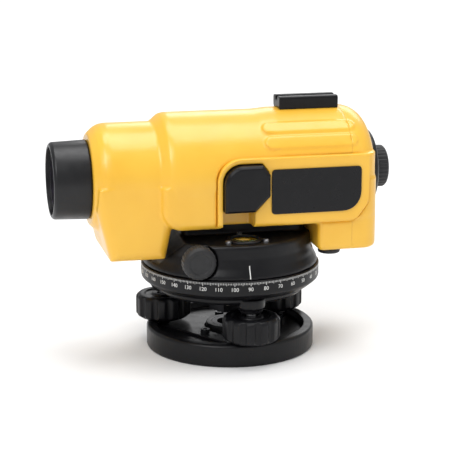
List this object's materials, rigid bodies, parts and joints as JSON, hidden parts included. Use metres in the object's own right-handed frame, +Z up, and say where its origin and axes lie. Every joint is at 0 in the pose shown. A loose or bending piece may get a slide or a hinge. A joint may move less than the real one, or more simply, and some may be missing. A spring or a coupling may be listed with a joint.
{
  "type": "automatic level",
  "caption": "Automatic surveying level: yellow telescope housing on a rotating black base with a graduated circle, levelling knobs and a threaded base plate.",
  "frame": {"origin": "centre of the base plate's bottom face, on the vertical axis and on the tripod thread's axis", "axes": "+Z up along the vertical axis; -X along the line of sight towards the objective; +X towards the eyepiece; -Y the observer's left, where the bubble prism is"},
  "size_m": [0.2053, 0.1129, 0.152],
  "materials": {
    "cast_black": "satin black paint on die-cast aluminium",
    "body_yellow": "satin yellow paint on die-cast aluminium",
    "plastic_black": "moulded black, fine texture",
    "grip_black": "soft black grip",
    "brass": "turned",
    "steel": "turned and ground",
    "dark_steel": "blackened screws",
    "aluminium": "machined",
    "black_anodised": "black anodised",
    "nylon": "moulded nylon",
    "glass": "polished and coated",
    "vial_fluid": "clear vial with yellow-green spirit"
  },
  "bodies": {
    "base": {"base_plate": "cast_black", "thread_bush": "dark_steel", "spring_plate": "cast_black", "spring_plate_screws": "dark_steel", "foot_cups": "nylon"},
    "seat_c": {"foot_cup_c": "nylon"},
    "foot_a": {"foot_screw_a": "plastic_black"},
    "foot_b": {"foot_screw_b": "plastic_black"},
    "foot_c": {"foot_screw_c": "plastic_black"},
    "tribrach": {"tribrach": "cast_black", "foot_studs": "steel", "centre_bush": "brass", "clutch_washer": "steel", "wheel_circlip": "dark_steel"},
    "circle": {"horizontal_circle": "plastic_black"},
    "wheel": {"worm_wheel": "brass"},
    "head": {"alidade_base": "plastic_black", "spindle": "steel", "spindle_nut": "dark_steel", "thrust_washer": "steel", "flange_screws": "dark_steel", "worm_bushes": "brass", "vial_cup": "black_anodised", "vial_glass": "vial_fluid", "vial_screws": "steel", "housing_body": "body_yellow", "rear_cover": "body_yellow", "side_panel_left": "body_yellow", "side_panel_right": "body_yellow", "name_plates": "plastic_black", "prism_cover": "plastic_black", "bubble_prism": "glass", "gun_sight": "plastic_black", "objective_tube": "black_anodised", "objective_crown": "glass", "objective_flint": "glass", "objective_retainer": "black_anodised", "focus_bush": "brass", "compensator_frame": "aluminium", "fixed_prisms": "glass", "reticle_cell": "brass", "reticle_disc": "glass", "reticle_screws": "dark_steel", "eyepiece_flange": "black_anodised", "check_spring": "steel", "housing_screws": "dark_steel"},
    "worm": {"worm_shaft": "steel", "tangent_knob_left": "grip_black", "tangent_knob_right": "grip_black"},
    "focus_slide": {"focus_carriage": "aluminium", "focus_lens": "glass"},
    "focus_shaft": {"focus_pinion": "steel", "focus_knob": "grip_black"},
    "pendulum": {"pendulum": "brass", "pendulum_prism": "glass", "suspension_wires": "steel"},
    "eyepiece_ring": {"eyepiece_knob": "grip_black"},
    "eyepiece_slide": {"eyepiece_tube": "black_anodised", "eyepiece_lenses": "glass"},
    "check_button": {"check_button": "grip_black"}
  },
  "joints": [
    {"name": "level_roll", "type": "hinge", "parent": "base", "child": "seat_c", "pos_m": [0.03482, 0.02349, 0.0085], "axis": [0.829, 0.5592, 0], "range_deg": [-1.5, 1.5]},
    {"name": "level_pitch", "type": "hinge", "parent": "seat_c", "child": "tribrach", "pos_m": [-0.01741, -0.01174, 0.0085], "axis": [0.5592, -0.829, 0], "range_deg": [-1.5, 1.5]},
    {"name": "foot_a_turn", "type": "hinge", "parent": "base", "child": "foot_a", "pos_m": [-0.03775, 0.01841, 0.0085], "axis": [0, 0, 1], "range_deg": [-470.8, 470.8]},
    {"name": "foot_b_turn", "type": "hinge", "parent": "base", "child": "foot_b", "pos_m": [0.00293, -0.0419, 0.0085], "axis": [0, 0, 1], "range_deg": [-470.8, 470.8]},
    {"name": "foot_c_turn", "type": "hinge", "parent": "base", "child": "foot_c", "pos_m": [0.03482, 0.02349, 0.0085], "axis": [0, 0, 1], "range_deg": [-815.4, 815.4]},
    {"name": "circle_turn", "type": "hinge", "parent": "tribrach", "child": "circle", "pos_m": [0, 0, 0.0485], "axis": [0, 0, 1], "continuous": true},
    {"name": "head_turn", "type": "hinge", "parent": "tribrach", "child": "wheel", "pos_m": [0, 0, 0.0635], "axis": [0, 0, 1], "continuous": true},
    {"name": "fine_turn", "type": "hinge", "parent": "wheel", "child": "head", "pos_m": [0, 0, 0.0635], "axis": [0, 0, 1], "continuous": true},
    {"name": "worm_turn", "type": "hinge", "parent": "head", "child": "worm", "pos_m": [-0.029, 0, 0.0635], "axis": [0, 1, 0], "continuous": true},
    {"name": "focus_travel", "type": "slide", "parent": "head", "child": "focus_slide", "axis": [1, 0, 0], "range_m": [-0.009, 0.009]},
    {"name": "focus_turn", "type": "hinge", "parent": "head", "child": "focus_shaft", "pos_m": [-0.004, 0.04, 0.1003], "axis": [0, 1, 0], "range_deg": [-175, 175]},
    {"name": "pendulum_swing", "type": "hinge", "parent": "head", "child": "pendulum", "pos_m": [0.031, 0, 0.124], "axis": [0, 1, 0], "range_deg": [-0.5, 0.5]},
    {"name": "eyepiece_travel", "type": "slide", "parent": "head", "child": "eyepiece_slide", "axis": [1, 0, 0], "range_m": [-0.0014, 0.0014]},
    {"name": "eyepiece_turn", "type": "hinge", "parent": "head", "child": "eyepiece_ring", "pos_m": [0.0925, 0, 0.1063], "axis": [1, 0, 0], "range_deg": [-171, 171]},
    {"name": "check_press", "type": "slide", "parent": "head", "child": "check_button", "axis": [0, 0, 1], "range_m": [0, 0.0018], "stiffness_N_per_m": 400, "springref_m": -0.001, "deforming": ["check_spring"]}
  ],
  "couplings": [
    {"joint": "foot_a_turn", "follows": "level_roll", "ratio": -304.72},
    {"joint": "foot_b_turn", "follows": "level_roll", "ratio": 304.72},
    {"joint": "foot_c_turn", "follows": "level_pitch", "ratio": -527.79},
    {"joint": "worm_turn", "follows": "fine_turn", "ratio": -60},
    {"joint": "focus_turn", "follows": "focus_travel", "rad_per_m": 333.33},
    {"joint": "eyepiece_turn", "follows": "eyepiece_travel", "rad_per_m": 2094.4}
  ]
}
